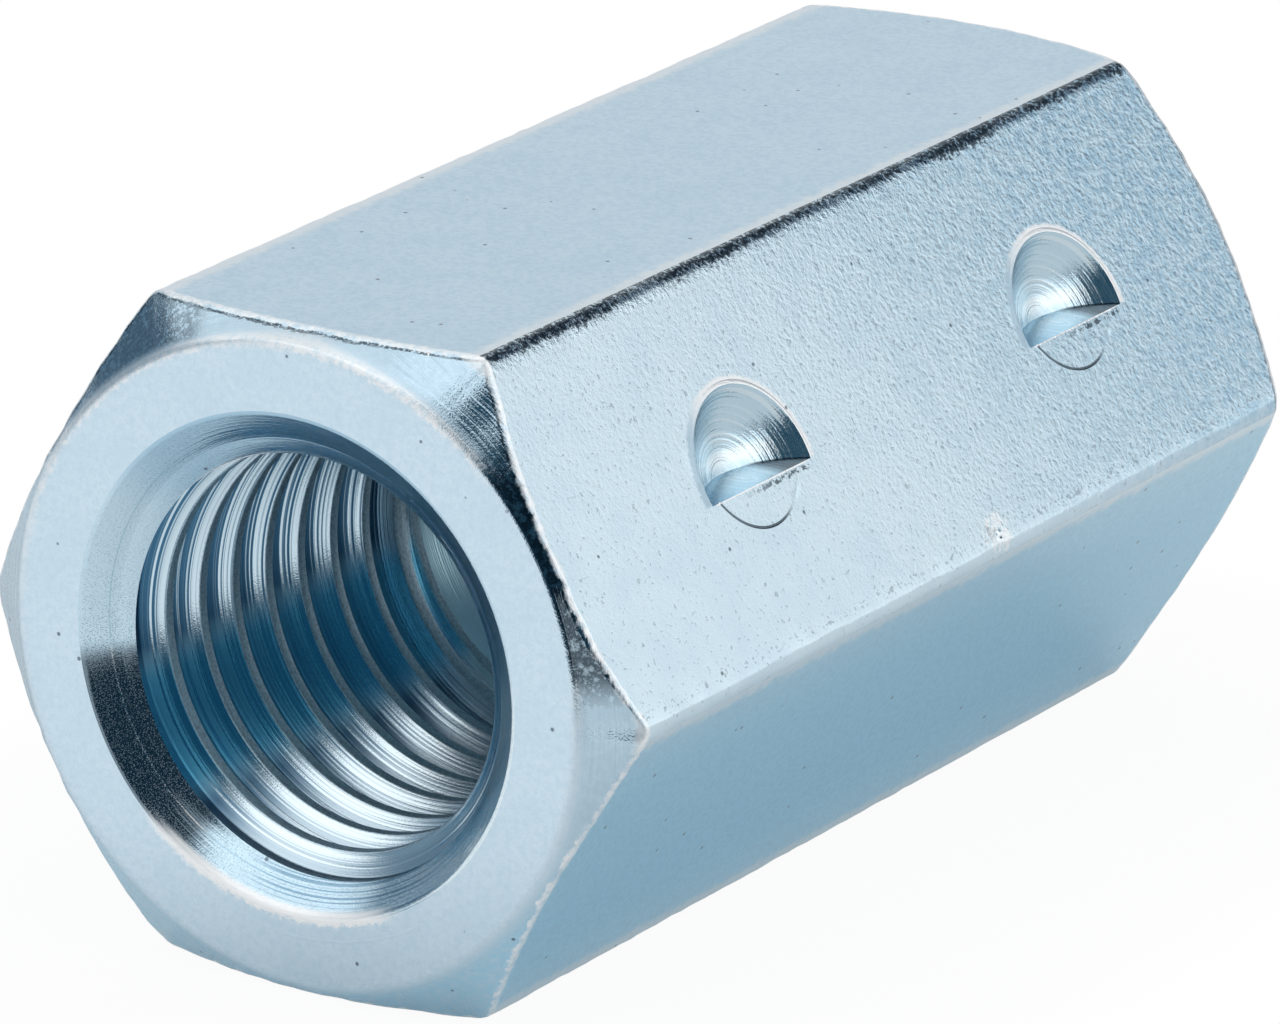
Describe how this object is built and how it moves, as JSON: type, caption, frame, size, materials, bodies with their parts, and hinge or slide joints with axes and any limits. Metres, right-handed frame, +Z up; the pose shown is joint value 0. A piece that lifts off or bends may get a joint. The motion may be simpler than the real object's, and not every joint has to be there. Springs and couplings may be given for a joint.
{
  "type": "hex turnbuckle body",
  "caption": "Long hexagon turnbuckle body with countersunk threaded ends, bevelled corners and half-round dimples in one flat; joins two threaded rods.",
  "frame": {"origin": "centre of the body, on the bore axis", "axes": "+Y along the bore to the left-hand thread, +Z up with the body lying on one flat, the dimpled flat facing +X and up"},
  "size_m": [0.0276, 0.045, 0.024],
  "materials": {
    "zinc_steel": "blue-passivated zinc plate on steel, satin flats, turned ends"
  },
  "bodies": {
    "root": {"hex_body": "zinc_steel"}
  },
  "joints": []
}
